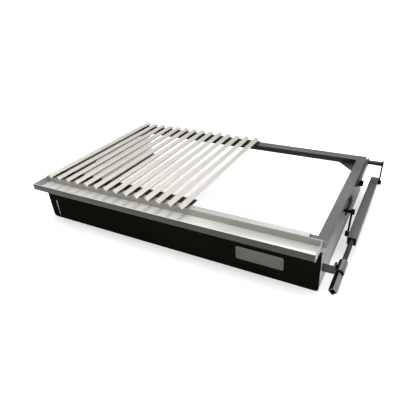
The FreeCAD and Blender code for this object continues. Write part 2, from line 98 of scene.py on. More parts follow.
def make_piece(name, points, faces, smooth_angle=35.0, closed=True):
    """A mesh object from an array of points (metres) and faces as tuples of numbers."""
    points = np.asarray(points, float)
    if closed and signed_volume(points, faces) < 0:
        faces = [tuple(reversed(face)) for face in faces]
    mesh = bpy.data.meshes.new(name)
    mesh.from_pydata(points.tolist(), [], [tuple(int(i) for i in f) for f in faces])
    mesh.validate()
    mesh.update()
    obj = bpy.data.objects.new(name, mesh)
    bpy.context.scene.collection.objects.link(obj)
    mesh.polygons.foreach_set("use_smooth", [True] * len(mesh.polygons))
    mesh.set_sharp_from_angle(angle=math.radians(smooth_angle))
    return obj


def band_faces(bands, sides, rings):
    """Four-sided faces between each ring of points and the next, as one array.

    Face i of band r joins points i and i + 1 of ring r to the same two of ring r + 1.
    After the last ring follows the first."""
    i = np.arange(sides)
    j = (i + 1) % sides
    here = np.arange(bands)[:, None] * sides
    there = (np.arange(1, bands + 1) % rings)[:, None] * sides
    return np.stack([here + i, here + j, there + j, there + i], axis=2).reshape(-1, 4)


print("faces of a band of 8 sides:", len(band_faces(1, 8, 2)))

# %% [markdown]
# ## The line of a fold
#
# Most of the grill is sheet that a press has folded.  A fold is never sharp: the sheet
# turns on a small radius.  So a folded piece starts as a line of straight runs, seen
# from its end, and each corner becomes an arc.  A Bevel modifier could round a sharp
# model too, but an arc in the line keeps the sheet's thickness the same all the way.

# %% Fold lines
def to_axis(flat_points, along, axis):
    """Points of a flat outline (u, v) placed at a distance along x or along y."""
    u, v = flat_points[:, 0], flat_points[:, 1]
    w = np.full(len(u), along)
    if axis == "x":
        return np.stack([w, u, v], axis=1)
    return np.stack([u, w, v], axis=1)


def rounded_path(points, radius, steps=6):
    """The polyline with each inner corner replaced by a circular arc.

    The arc starts and ends radius * tan(turn / 2) before and after the corner.  With f
    from 0 to 1 its points are middle + (sin((1 - f) turn) a0 + sin(f turn) a1) / sin(turn)."""
    points = [np.array(p, float) for p in points]
    f = (np.arange(steps + 1) / steps)[:, None]
    out = [points[0]]
    for a, b, c in zip(points, points[1:], points[2:]):
        u = (a - b) / np.linalg.norm(a - b)
        v = (c - b) / np.linalg.norm(c - b)
        turn = math.pi - math.acos(float(np.clip(np.dot(u, v), -1, 1)))
        limit = 0.45 * min(np.linalg.norm(a - b), np.linalg.norm(c - b))
        reach = min(radius * math.tan(turn / 2), limit)
        real_radius = reach / math.tan(turn / 2)
        middle = b + (u + v) / np.linalg.norm(u + v) * real_radius / math.cos(turn / 2)
        a0 = b + u * reach - middle
        a1 = b + v * reach - middle
        out.append(middle + np.sin((1 - f) * turn) / math.sin(turn) * a0
                   + np.sin(f * turn) / math.sin(turn) * a1)
    out.append(points[-1])
    return np.vstack(out)


def offset_path(path, distance):
    """The path moved sideways by a distance, along the mean of its neighbours' normals."""
    step = np.diff(path, axis=0)
    step /= np.linalg.norm(step, axis=1)[:, None]
    normal = np.stack([-step[:, 1], step[:, 0]], axis=1)
    first = np.vstack([normal[:1], normal])
    second = np.vstack([normal, normal[-1:]])
    mean = first + second
    length = np.linalg.norm(mean, axis=1)
    mean = mean / length[:, None]
    stretch = 2.0 / length
    return path + mean * (distance * stretch)[:, None]


square_turn = rounded_path([(0, 0), (10 * MM, 0), (10 * MM, 10 * MM)], 2 * MM)
print("points on a line with one square fold:", len(square_turn))

# %% [markdown]
# ## Folded sheet
#
# The line is given a thickness and drawn out along the piece.  The first and the last
# outline are a little thinner, which rounds the cut rim.  On real sheet the rim catches
# a thin line of light, and without it the pieces look like paper.

# %% Folded sheet
RIM_SHARE = 0.28           # a sheet's rim is rounded over this share of its thickness


def folded_sheet(name, path, thickness, axis, stations, sway=None):
    """Sheet metal folded along a flat path and run straight along x or y.

    The outline is the path moved by half a thickness to each side.  sway, if given,
    moves each station's outline by a small (u, v) amount."""
    edge = RIM_SHARE * thickness
    loop = np.vstack([offset_path(path, thickness / 2), offset_path(path, -thickness / 2)[::-1]])
    thin = np.vstack([offset_path(path, thickness / 2 - edge),
                      offset_path(path, edge - thickness / 2)[::-1]])
    stations = list(stations)
    ends = [stations[0], stations[0] + edge] + stations[1:-1]
    ends += [stations[-1] - edge, stations[-1]]
    rows = []
    for i, along in enumerate(ends):
        outline = thin if i in (0, len(ends) - 1) else loop
        if sway is not None:
            outline = outline + np.array(sway(along))
        rows.append(to_axis(outline, along, axis))
    count = len(loop)
    last = (len(rows) - 1) * count
    i = np.arange(len(path) - 1)
    near = np.stack([i + 1, i, count - 1 - i, count - 2 - i], axis=1)
    far = last + np.stack([i, i + 1, count - 2 - i, count - 1 - i], axis=1)
    faces = np.vstack([band_faces(len(rows) - 1, count, len(rows)),
                       np.stack([near, far], axis=1).reshape(-1, 4)])
    return make_piece(name, np.vstack(rows), faces.tolist())


print("a sheet of 1.5 mm is rounded over mm:", round(RIM_SHARE * 1.5, 2))

# %% [markdown]
# ## Welds
#
# A run of weld is a row of small puddles that froze one over the other.  A texture
# would look flat from the side, so the bead is a rod whose radius swells and shrinks
# along its length, with a little chance in each ring.

# %% Rods and welds
WELD_RIPPLE = 1.8 * MM     # from one ripple of a weld to the next
WELD_SWELL = 0.16
WELD_UNEVEN = 0.08
WELD_SIDES = 10
OFF_AXIS = (0.31, 0.52, 0.79)


def rod_faces(rows, sides):
    """Faces of a rod of rings of points, with an end face on its first and last ring."""
    faces = band_faces(rows, sides, rows + 1).tolist()
    faces.append(list(range(sides)))
    faces.append(list(range(rows * sides, (rows + 1) * sides))[::-1])
    return faces


def weld_bead(name, start, end, radius):
    """A run of weld: a round bead whose radius swells and shrinks along its length.

    radius(s) = radius * (1 + swell * sin(2 pi s / ripple)), flattened near both ends."""
    start = np.array(start, float)
    end = np.array(end, float)
    length = float(np.linalg.norm(end - start))
    direction = (end - start) / length
    side = np.cross(direction, OFF_AXIS)
    side /= np.linalg.norm(side)
    up = np.cross(direction, side)
    rows = max(int(length / (WELD_RIPPLE / 5)), 10)
    f = np.arange(rows + 1) / rows
    taper = np.minimum(1.0, np.sin(math.pi * f) * 4 + 0.12)
    swell = WELD_SWELL * np.sin(2 * math.pi * f * length / WELD_RIPPLE)
    thick = radius * taper * (1 + swell) * (1 + WELD_UNEVEN * RNG.standard_normal(rows + 1))
    angle = 2 * math.pi * np.arange(WELD_SIDES) / WELD_SIDES
    ring = np.cos(angle)[:, None] * side + np.sin(angle)[:, None] * up
    middle = start + direction * f[:, None] * length
    points = (middle[:, None, :] + thick[:, None, None] * ring).reshape(-1, 3)
    return make_piece(name, points, rod_faces(rows, WELD_SIDES), smooth_angle=80)


print("ripples on 10 mm of weld:", round(10 * MM / WELD_RIPPLE, 1))

# %% [markdown]
# ## Patterns for materials
#
# A photograph could be wrapped on each piece, but it would show its seams and its own
# light.  Noise worked out from the object's own coordinates has no seams, and it stays
# on the piece when the piece moves.

# %% Noise and ranges
def new_material(name):
    """A material with its node tree and its main shader."""
    mat = bpy.data.materials.new(name)
    mat.use_nodes = True
    tree = mat.node_tree
    shader = tree.nodes["Principled BSDF"]
    return mat, tree, shader


def noise(tree, scale, stretch, detail):
    """Noise over object coordinates multiplied by stretch = (x, y, z)."""
    coord = tree.nodes.new("ShaderNodeTexCoord")
    mapping = tree.nodes.new("ShaderNodeMapping")
    mapping.inputs["Scale"].default_value = stretch
    tex = tree.nodes.new("ShaderNodeTexNoise")
    tex.inputs["Scale"].default_value = scale
    tex.inputs["Detail"].default_value = detail
    tex.inputs["Roughness"].default_value = 0.55
    tree.links.new(coord.outputs["Object"], mapping.inputs["Vector"])
    tree.links.new(mapping.outputs["Vector"], tex.inputs["Vector"])
    return tex.outputs["Fac"]


def ramp(tree, value, stops):
    """Colour ramp with stops given as (position, colour)."""
    node = tree.nodes.new("ShaderNodeValToRGB")
    while len(node.color_ramp.elements) < len(stops):
        node.color_ramp.elements.new(0.5)
    for element, (place, colour) in zip(node.color_ramp.elements, stops):
        element.position = place
        element.color = (*colour, 1.0)
    tree.links.new(value, node.inputs["Fac"])
    return node.outputs["Color"]


def spread(tree, value, low, high, from_low=0.3, from_high=0.7):
    """The value moved from one range to another."""
    node = tree.nodes.new("ShaderNodeMapRange")
    node.inputs["From Min"].default_value = from_low
    node.inputs["From Max"].default_value = from_high
    node.inputs["To Min"].default_value = low
    node.inputs["To Max"].default_value = high
    tree.links.new(value, node.inputs["Value"])
    return node.outputs["Result"]

# %% [markdown]
# ## Mixing tones
#
# A finish is rarely one tone.  These helpers mix two colours, do one step of
# arithmetic on a pattern, and darken a finished material where a pattern says so.
# The relief turns only the normals: scratches are too fine to be worth real geometry.

# %% Mixing and relief
def mixed(tree, factor, first, second):
    """Blend of two colours by a factor that is a number or a socket."""
    node = tree.nodes.new("ShaderNodeMix")
    node.data_type = "RGBA"
    for socket, value in ((node.inputs["Factor"], factor), (node.inputs["A"], first),
                          (node.inputs["B"], second)):
        if isinstance(value, bpy.types.NodeSocket):
            tree.links.new(value, socket)
        elif isinstance(value, tuple):
            socket.default_value = (*value, 1.0)
        else:
            socket.default_value = value
    return node.outputs["Result"]


def bump(tree, shader, value, strength, distance):
    """Fine relief that turns the normals without moving the surface."""
    node = tree.nodes.new("ShaderNodeBump")
    node.inputs["Strength"].default_value = strength
    node.inputs["Distance"].default_value = distance
    tree.links.new(value, node.inputs["Height"])
    tree.links.new(node.outputs["Normal"], shader.inputs["Normal"])


def shaded(value, amount):
    """A colour made darker or lighter."""
    return tuple(c * amount for c in value)


def object_axes(tree):
    """The object's own coordinates as three separate values."""
    coord = tree.nodes.new("ShaderNodeTexCoord")
    split = tree.nodes.new("ShaderNodeSeparateXYZ")
    tree.links.new(coord.outputs["Object"], split.inputs["Vector"])
    return split.outputs


def calculate(tree, operation, first, second=0.0):
    """One step of arithmetic on numbers or sockets."""
    node = tree.nodes.new("ShaderNodeMath")
    node.operation = operation
    for socket, value in zip(node.inputs, (first, second)):
        if isinstance(value, bpy.types.NodeSocket):
            tree.links.new(value, socket)
        else:
            socket.default_value = value
    return node.outputs["Value"]


def retone(mat, factor, amount):
    """Darkens a finished material by amount where the factor is one."""
    tree = mat.node_tree
    socket = tree.nodes["Principled BSDF"].inputs["Base Color"]
    old = socket.links[0].from_socket
    dark = mixed(tree, 1.0, (0.0, 0.0, 0.0), (amount, amount, amount))
    node = tree.nodes.new("ShaderNodeMix")
    node.data_type = "RGBA"
    node.blend_type = "MULTIPLY"
    tree.links.new(factor, node.inputs["Factor"])
    tree.links.new(old, node.inputs["A"])
    tree.links.new(dark, node.inputs["B"])
    tree.links.new(node.outputs["Result"], socket)
    return mat


print("half of a mid grey:", shaded((0.5, 0.5, 0.5), 0.5))

# %% [markdown]
# ## Brushed steel
#
# Rolling and brushing leave fine streaks in one direction.  The noise is stretched
# along it: the pattern is sampled at (x * a, y * b, z * c) with one small factor.  The
# streaks change colour, roughness and relief together, as they do on real steel.

# %% Brushed steel
STREAK_SCALE = 60.0
STREAK_DEPTH = 0.2 * MM
ALONG_X = (0.02, 1.0, 1.0)
ALONG_Y = (1.0, 0.02, 1.0)
TURNED_Y = (1.0, 0.05, 1.0)
TURNED_Z = (1.0, 1.0, 0.05)
EVEN = (1.0, 1.0, 1.0)


def brushed(name, colour, rough, stretch, metal, strength=0.12, stain=0.12):
    """Rolled or brushed steel: fine streaks, soft clouds of tone and light stains."""
    mat, tree, shader = new_material(name)
    streak = noise(tree, STREAK_SCALE, stretch, detail=6.0)
    cloud = noise(tree, 7.0, EVEN, detail=3.0)
    base = ramp(tree, streak, [(0.25, shaded(colour, 0.86)), (0.75, shaded(colour, 1.06))])
    dirty = mixed(tree, spread(tree, cloud, 0.0, stain, 0.45, 0.75), base,
                  shaded(colour, 0.45))
    tree.links.new(dirty, shader.inputs["Base Color"])
    tree.links.new(spread(tree, streak, rough * 0.8, rough * 1.2), shader.inputs["Roughness"])
    shader.inputs["Metallic"].default_value = metal
    bump(tree, shader, streak, strength, STREAK_DEPTH)
    return mat


print("streaks are longer than wide by:", round(ALONG_X[1] / ALONG_X[0]))

# %% [markdown]
# ## Paint
#
# Sprayed satin paint has a fine grain like orange peel, and its gloss is uneven over
# the size of a hand.  Two noises of different scale give the two.

# %% Paint
PEEL_SCALE = 380.0         # the fine grain of sprayed paint
PEEL_DEPTH = 0.3 * MM


def painted(name, colour, rough, mottle=0.12, shine=0.4):
    """Satin paint: a fine orange-peel bump and soft clouds of tone."""
    mat, tree, shader = new_material(name)
    cloud = noise(tree, 9.0, EVEN, detail=5.0)
    fine = noise(tree, PEEL_SCALE, EVEN, detail=2.0)
    base = ramp(tree, cloud, [(0.3, shaded(colour, 1 - mottle)),
                              (0.7, shaded(colour, 1 + mottle))])
    tree.links.new(base, shader.inputs["Base Color"])
    tree.links.new(spread(tree, cloud, rough * 0.88, rough * 1.15), shader.inputs["Roughness"])
    shader.inputs["Specular IOR Level"].default_value = shine
    bump(tree, shader, fine, 0.10, PEEL_DEPTH)
    return mat

# %% [markdown]
# ## Side sheet
#
# The side plates are bare sheet.  Their tone is a blend along y and not one colour: painted shade
# toward the back and a painted reflection of the pale ground toward the front.

# %% Side sheet
def sheet_grey(name, back, front):
    """Side sheet with painted shade at the back and a painted reflection at the front."""
    mat, tree, shader = new_material(name)
    place_y = spread(tree, object_axes(tree)["Y"], 0.0, 1.0, 0.05, -0.28)
    streak = noise(tree, STREAK_SCALE, (1.0, 0.03, 1.0), detail=6.0)
    # Painted shade at the back blends into a painted reflection at the front.
    tone = mixed(tree, place_y, back, front)
    streaked = mixed(tree, spread(tree, streak, 0.0, 0.22), tone, shaded(front, 0.4))
    tree.links.new(streaked, shader.inputs["Base Color"])
    tree.links.new(spread(tree, streak, 0.34, 0.5), shader.inputs["Roughness"])
    shader.inputs["Metallic"].default_value = 0.1
    shader.inputs["Specular IOR Level"].default_value = 0.2
    bump(tree, shader, streak, 0.1, STREAK_DEPTH)
    return mat

# %% [markdown]
# ## The finishes
#
# One table holds every finish of the grill, so that two pieces of the same stock are
# sure to look the same.  The numbers are the base colour and the roughness.

# %% The finishes
MAT = {
    "bar": brushed("bar_steel", (0.65, 0.63, 0.57), 0.42, ALONG_Y, metal=0.30,
                   strength=0.10, stain=0.12),
    # The strips' steel is painted dark as the shade under the bars; it also shades the bars'
    # undersides.
    "strip": brushed("rack_strip_shade", (0.085, 0.082, 0.078), 0.40, ALONG_X, metal=0.5,
                     stain=0.3),
    "tray": brushed("tray_steel", (0.82, 0.82, 0.78), 0.20, ALONG_X, metal=0.35,
                    strength=0.04, stain=0.10),
    "end": brushed("tray_end_steel", (0.38, 0.39, 0.41), 0.30, ALONG_Y, metal=0.35,
                   strength=0.04, stain=0.10),
    # The tray's back wall: painted shade.
    "wall": brushed("tray_wall_shade", (0.43, 0.415, 0.375), 0.40, ALONG_X, metal=0.35,
                    stain=0.15),
    # The lip's front face: a painted dark reflection.
    "lip": brushed("tray_lip_reflection", (0.048, 0.044, 0.034), 0.38, ALONG_X, metal=0.5,
                   stain=0.25),
    "flange": brushed("tray_flange", (0.48, 0.475, 0.445), 0.34, ALONG_X, metal=0.3,
                      stain=0.10),
    "dark": painted("frame_dark", (0.018, 0.017, 0.019), 0.42, shine=0.15),
    # The rear arms' dark grey stands for the shade beside the rail.
    "arm": painted("arm_shade_grey", (0.042, 0.040, 0.037), 0.42, shine=0.2),
    "cap": painted("cap_grey", (0.24, 0.23, 0.22), 0.42, shine=0.2),
    "frame": painted("frame_paint", (0.098, 0.092, 0.088), 0.42, shine=0.3),
    # The rear crossbar's darker paint is painted shade.
    "rear": painted("rear_bar_shade_paint", (0.064, 0.060, 0.058), 0.42, shine=0.3),
    "panel": painted("panel_black", (0.0060, 0.0066, 0.0041), 0.55, mottle=0.08, shine=0.0),
    # The side plates' tone runs from painted shade at the back to a painted reflection at the
    # front.
    "side": sheet_grey("side_sheet_shaded", (0.055, 0.053, 0.052), (0.38, 0.38, 0.366)),
    # The side plates' inner faces: painted light from the pale ground.
    "inner": brushed("side_inner_lit", (0.82, 0.79, 0.74), 0.45, (1.0, 0.03, 1.0), metal=0.15),
    "socket": brushed("socket_steel", (0.24, 0.24, 0.225), 0.42, TURNED_Y, metal=0.4),
    "black": painted("gear_black", (0.0035, 0.0035, 0.0035), 0.45, shine=0.03),
    "bracket": painted("bracket_grey", (0.060, 0.057, 0.056), 0.40, shine=0.15),
    "tube": painted("tube_grey", (0.074, 0.069, 0.068), 0.40, shine=0.3),
    "turned": brushed("turned_steel", (0.12, 0.108, 0.105), 0.38, TURNED_Y, metal=0.6),
    "spindle": brushed("spindle_steel", (0.030, 0.025, 0.022), 0.38, TURNED_Y,
                       metal=0.6),
    "sleeve": brushed("sleeve_steel", (0.165, 0.161, 0.168), 0.40, TURNED_Z, metal=0.5),
    "plate": brushed("plate_metal", (0.115, 0.111, 0.098), 0.42, (0.03, 1.0, 1.0), metal=0.5),
    "weld": brushed("weld_metal", (0.16, 0.155, 0.145), 0.48, EVEN, metal=0.6),
}
print("finishes:", len(MAT))

# %% [markdown]
# ## Putting a piece in place
#
# A new surface is painted, rides on the body that moves it and stands for its solid.
# A solid that already looks right is only given soft edges and paint: a real edge is
# never perfectly sharp, and the bevel catches the light.

# %% Paint and place
def paint(obj, key):
    """Gives the whole piece one material."""
    obj.data.materials.clear()
    obj.data.materials.append(MAT[key])
    return obj


def paint_where(obj, key, test):
    """A second material on the faces whose normal and centre pass a test."""
    obj.data.materials.append(MAT[key])
    index = len(obj.data.materials) - 1
    for polygon in obj.data.polygons:
        if test(polygon.normal, polygon.center):
            polygon.material_index = index
    return obj


def soften(obj, width):
    """A small bevel on every edge sharper than 35 degrees."""
    mod = obj.modifiers.new("edge", "BEVEL")
    mod.width = width
    mod.segments = 2
    mod.limit_method = "ANGLE"
    mod.angle_limit = math.radians(35)
    mod.harden_normals = True
    for polygon in obj.data.polygons:
        polygon.use_smooth = True
    return obj


def place(obj, body, key, *nodes):
    """Paints a new piece, lets it ride on a body and stand for its solids."""
    paint(obj, key)
    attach(obj, body)
    if nodes:
        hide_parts(*nodes)
    return obj


def dress(key, width, *nodes):
    """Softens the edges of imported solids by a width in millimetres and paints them."""
    for node in nodes:
        paint(soften(NODES[node], width * MM), key)

# %% [markdown]
# ## The tone of the bars
#
# The bars are darker toward the rear and toward the left, where less light falls, so their steel
# is painted with shade along both directions.  Both patterns are added up in one factor.

# %% Tone of the bars
BAR_SHADE_KEEP = 0.66            # the share of its tone that a bar keeps under full painted shade

tree = MAT["bar"].node_tree
axes = object_axes(tree)
rearward_shade = spread(tree, axes["Y"], 0.0, 0.6, -0.25, 0.30)
leftward_shade = spread(tree, axes["X"], 0.0, 0.6, 0.15, -0.50)
# The two ramps darken the bars' steel as painted shade.
retone(MAT["bar"], calculate(tree, "ADD", rearward_shade, leftward_shade), BAR_SHADE_KEEP)
print("bar length in mm:", round((corners("v_bar_01")[1][1] - corners("v_bar_01")[0][1]) / MM, 1))

# %% [markdown]
# ## The rack
#
# Each bar is one strip of sheet folded to a V with a narrow flat bottom, so that fat
# runs forward in it.  The bars could be one piece repeated, but real bars are never
# quite straight: bar k bows sideways by up to a third of a millimetre,
# bow(s) = depth_k * 4 s (1 - s), with s the share of its length.

# %% Rack of V bars
BAR_COUNT = 14
BAR_SHEET = 1.6 * MM
BAR_BOTTOM = 1.8 * MM
BAR_FOLD = 1.2 * MM
BAR_RIM_IN = 0.35 * MM
BAR_RIM_DOWN = 0.4 * MM
BAR_BOW = 0.35 * MM
BAR_STATIONS = 17


def v_bar(k):
    """The folded sheet of bar k, with painted shade where it faces down."""
    node = "v_bar_%02d" % (k + 1)
    low, high = corners(node)
    middle = (low[0] + high[0]) / 2
    rim_z = high[2] - BAR_RIM_DOWN
    bottom_z = low[2] + BAR_SHEET / 2
    path = rounded_path([
        (low[0] + BAR_RIM_IN, rim_z),
        (middle - BAR_BOTTOM / 2, bottom_z),
        (middle + BAR_BOTTOM / 2, bottom_z),
        (high[0] - BAR_RIM_IN, rim_z),
    ], BAR_FOLD, steps=4)
    depth = RNG.uniform(-BAR_BOW, BAR_BOW)
    length = high[1] - low[1]

    def sway(y):
        s = (y - low[1]) / length
        return (depth * 4 * s * (1 - s), 0.0)

    stations = np.linspace(low[1], high[1], BAR_STATIONS)
    bar = folded_sheet("rack_bar_%02d" % (k + 1), path, BAR_SHEET, "y", stations, sway)
    place(bar, "rack", "bar", node)
    # Faces that look down get the dark strip steel as painted shade.
    paint_where(bar, "strip", lambda n, c: n.z < -0.3)


for k in range(BAR_COUNT):
    v_bar(k)
print("bars:", BAR_COUNT)

# %% [markdown]
# ## The rack's strips
#
# Two flat strips hold the bars together.  Each bar is tacked to them with two short
# beads, one on each side of its flat bottom.

# %% Rack strips
STRIP_WELD_OUT = 2.6 * MM      # the two beads under a bar lie this far from its middle
STRIP_WELD_Y = (4 * MM, 17 * MM)
STRIP_WELD_R = 1.1 * MM

strip_beads = 0
for node in ("rack_front_strip", "rack_rear_strip"):
    # The strips get the dark steel that stands for the shade under the bars.
    dress("strip", 0.5, node)
    low, high = corners(node)
    for k in range(BAR_COUNT):
        bar_low, bar_high = corners("v_bar_%02d" % (k + 1))
        middle = (bar_low[0] + bar_high[0]) / 2
        if not low[0] < middle < high[0]:
            continue
        for letter, x in (("a", middle - STRIP_WELD_OUT), ("b", middle + STRIP_WELD_OUT)):
            bead = weld_bead("%s_weld_%02d_%s" % (node, k + 1, letter),
                             (x, low[1] + STRIP_WELD_Y[0], high[2]),
                             (x, low[1] + STRIP_WELD_Y[1], high[2]), STRIP_WELD_R)
            place(bead, "rack", "weld")
            strip_beads += 1
print("beads on the strips:", strip_beads)

# %% [markdown]
# ## The drip tray
#
# The tray is one folded sheet: a hemmed front lip, a flat floor and a back wall.  One line from
# lip to wall makes it in a single piece, as the press does, and the faces are then painted by the
# way they look: the lip's front face gets a painted dark reflection and the back wall painted
# shade.

# %% Drip tray
TRAY_SHEET = 1.5 * MM
TRAY_FOLD = 1.3 * MM
TRAY_STATIONS = 9
LIP_WIDTH = 3.4 * MM
WALL_GAP = 1.0 * MM            # between the back wall and the front crossbar
FOLD_REACH = 4 * MM            # a painted fold ends within this distance
FLANGE_SHEET = 1.2 * MM
HEM_GAP = 0.1 * MM

low, high = corners("drip_tray")
bar_low, bar_high = corners("front_crossbar")
front_y = low[1] + TRAY_SHEET / 2
wall_y = bar_low[1] - WALL_GAP - TRAY_SHEET / 2
hem_y = high[1] - FLANGE_SHEET / 2
floor_z = low[2] + TRAY_SHEET / 2
flange_z = high[2] - FLANGE_SHEET / 2
lip_z = corners("tray_end_left")[1][2] - TRAY_SHEET / 2
tray_path = rounded_path([
    (low[1] + LIP_WIDTH, lip_z),
    (front_y, lip_z),
    (front_y, floor_z),
    (wall_y, floor_z),
    (wall_y, flange_z - FLANGE_SHEET),
], TRAY_FOLD)
tray = folded_sheet("tray_channel", tray_path, TRAY_SHEET, "x",
                    np.linspace(low[0] + HEM_GAP, high[0] - HEM_GAP, TRAY_STATIONS))
place(tray, "cooking_frame", "tray", "drip_tray")
# The lip's front face is painted dark as a reflection of the dark front.
paint_where(tray, "lip", lambda n, c: n.y < -0.6 and c.y < low[1] + FOLD_REACH)
# The back wall is painted darker than the floor as shade.
paint_where(tray, "wall", lambda n, c: abs(n.y) > 0.6 and c.y > wall_y - FOLD_REACH)
print("tray length in mm:", round((high[0] - low[0]) / MM, 1))

# %% [markdown]
# ## The tray's flange
#
# The tray hangs by a flange that lies on the front crossbar and turns down behind it.
# It is thinner sheet with its own fold, so it is a piece of its own.  The ends of the
# tray are closed by two small plates.

# %% Tray flange and ends
FLANGE_FOLD = 0.9 * MM
FLANGE_IN = 36.5 * MM          # the flange ends this far short of the tray's ends

flange_path = rounded_path([
    (wall_y, flange_z - 0.9 * FLANGE_SHEET),
    (wall_y, flange_z),
    (hem_y, flange_z),
    (hem_y, bar_high[2] + HEM_GAP),
], FLANGE_FOLD)
flange = folded_sheet("tray_flange", flange_path, FLANGE_SHEET, "x",
                      np.linspace(low[0] + FLANGE_IN, high[0] - FLANGE_IN, TRAY_STATIONS))
place(flange, "cooking_frame", "flange")
dress("end", 0.4, "tray_end_left", "tray_end_right")
print("flange length in mm:", round((high[0] - low[0] - 2 * FLANGE_IN) / MM, 1))

# %% [markdown]
# ## The floor of the tray
#
# The floor mirrors the bars' shaded ends: one dark spot in front of each bar is painted as their
# reflection.  The spots are a cosine wave across the tray with the pitch of the bars, cut to the
# stretch in front of them and made ragged with noise.  Painting them from the bars' own places
# keeps them in line when the rack changes.

# %% Spots on the floor
REFLECTION_KEEP = 0.55           # the share of its tone that the floor keeps in a painted reflection
BEYOND_SHADE_KEEP = 0.80         # and right of the bars, under painted shade

tree = MAT["tray"].node_tree
axes = object_axes(tree)
first_low, first_high = corners("v_bar_01")
pitch = corners("v_bar_02")[0][0] - first_low[0]
rack_right = corners("v_bar_14")[1][0]
from_first = calculate(tree, "SUBTRACT", axes["X"], (first_low[0] + first_high[0]) / 2)
phase = calculate(tree, "MULTIPLY", from_first, 2 * math.pi / pitch)
wave = spread(tree, calculate(tree, "COSINE", phase), 0.0, 1.0, 0.05, 0.75)
reach = spread(tree, axes["X"], 1.0, 0.0, rack_right, rack_right + 8 * MM)
depth = spread(tree, axes["Y"], 0.0, 1.0, first_low[1] - 38 * MM, first_low[1] - 30 * MM)
mask = calculate(tree, "MULTIPLY", calculate(tree, "MULTIPLY", wave, reach), depth)
ragged = spread(tree, noise(tree, 55.0, EVEN, detail=3.0), 0.35, 1.0)
fainter = spread(tree, axes["X"], 0.35, 1.0, first_low[0], rack_right)
reflection_spots = calculate(tree, "MULTIPLY", calculate(tree, "MULTIPLY", mask, ragged), fainter)
# The spots darken the floor as painted reflections of the bars' shaded ends.
retone(MAT["tray"], reflection_spots, REFLECTION_KEEP)

# Right of the bars the floor is painted a little darker than under them, as shade.
beyond_shade = spread(tree, axes["X"], 0.0, 1.0, rack_right + 50 * MM, rack_right + 150 * MM)
retone(MAT["tray"], beyond_shade, BEYOND_SHADE_KEEP)
print("from spot to spot in mm:", round(pitch / MM, 1))

# %% [markdown]
# ## Rectangular tube
#
# Drawn tube has round corners outside and smaller ones inside.  A box with a bevel
# would be solid, and the open ends of the drive tube show, so the tube is made as a
# skin: rings run along the outside, turn into the end and run back inside.

# %% Rectangular tube
CORNER_STEPS = 5           # points on each round corner of a tube


def rounded_rectangle(u0, u1, v0, v1, radius):
    """Closed outline of a rectangle with round corners, turning anticlockwise.

    Each corner is centre + radius * (cos a, sin a) over a quarter turn."""
    centres = np.array([(u1 - radius, v0 + radius), (u1 - radius, v1 - radius),
                        (u0 + radius, v1 - radius), (u0 + radius, v0 + radius)])
    quarter = 90 * np.arange(CORNER_STEPS + 1) / CORNER_STEPS
    angle = np.radians(np.array([-90, 0, 90, 180])[:, None] + quarter)
    turned = radius * np.stack([np.cos(angle), np.sin(angle)], axis=2)
    return (centres[:, None, :] + turned).reshape(-1, 2)


def hollow_tube(name, low, high, axis, wall, radius):
    """Rectangular tube with round outer and inner corners between two box corners.

    Six rings run out of one end, along the outside, into the other end and back."""
    across, along = (1, 0) if axis == "x" else (0, 1)
    outer = rounded_rectangle(low[across], high[across], low[2], high[2], radius)
    inner = rounded_rectangle(low[across] + wall, high[across] - wall, low[2] + wall,
                              high[2] - wall, max(radius - wall, 0.3 * radius))
    ends = (low[along], high[along])
    soft = 0.25 * wall
    middle = outer.mean(axis=0)
    shrink = outer - soft * (outer - middle) / np.abs(outer - middle).max()
    rows = [to_axis(shrink, ends[0], axis), to_axis(outer, ends[0] + soft, axis),
            to_axis(outer, ends[1] - soft, axis), to_axis(shrink, ends[1], axis),
            to_axis(inner, ends[1], axis), to_axis(inner, ends[0], axis)]
    faces = band_faces(len(rows), len(outer), len(rows))
    return make_piece(name, np.vstack(rows), faces.tolist())


print("points around a tube:", len(rounded_rectangle(0, 1, 0, 1, 0.1)))

# %% [markdown]
# ## The frame
#
# The frame is welded from rectangular tube.  The rear crossbar stands farther from the light, so
# it has a darker copy of the frame's paint as painted shade, and its front face is painted darker
# still as shade.

# %% Frame tubes
TUBE_WALL = 2.0 * MM
TUBE_CORNER = 2.2 * MM

for node, axis, key in (("side_rail_left", "y", "frame"), ("side_rail_right", "y", "frame"),
                        ("front_crossbar", "x", "frame"), ("rear_crossbar", "x", "rear")):
    low, high = corners(node)
    tube = hollow_tube(node + "_tube", low, high, axis, TUBE_WALL, TUBE_CORNER)
    place(tube, "cooking_frame", key, node)
    if node == "rear_crossbar":
        # Its front face gets the darkest paint as painted shade.
        paint_where(tube, "dark", lambda n, c: n.y < -0.6)
dress("cap", 0.8, "rail_end_caps")
print("rear crossbar in mm:", round((high[0] - low[0]) / MM, 1))

# %% [markdown]
# ## Corners of the frame
#
# Each corner has a run of weld, dressed almost flat, so only the top of the bead stands
# out of the tube.  The rear corners have a gusset.

# %% Frame welds and lugs
FRAME_WELD_R = 0.8 * MM
FRAME_WELD_SUNK = 0.3 * MM
FRAME_WELD_ENDS = (2 * MM, 3 * MM)     # the weld stops this far from the tube's edges

for side in ("left", "right"):
    dress("dark", 0.5, "corner_gusset_" + side)
    rail_low, rail_high = corners("side_rail_" + side)
    x = rail_low[0] if side == "right" else rail_high[0]
    for node in ("front_crossbar", "rear_crossbar"):
        low, high = corners(node)
        z = high[2] - FRAME_WELD_SUNK
        bead = weld_bead("weld_%s_%s" % (node, side), (x, low[1] + FRAME_WELD_ENDS[0], z),
                         (x, high[1] - FRAME_WELD_ENDS[1], z), FRAME_WELD_R)
        place(bead, "cooking_frame", "frame")
dress("black", 0.6, "rear_lugs", "front_lugs", "front_pivot_pins")
dress("black", 0.9, "rear_pivot_bolts")
print("frame weld stands out by mm:", round((FRAME_WELD_R - FRAME_WELD_SUNK) / MM, 1))

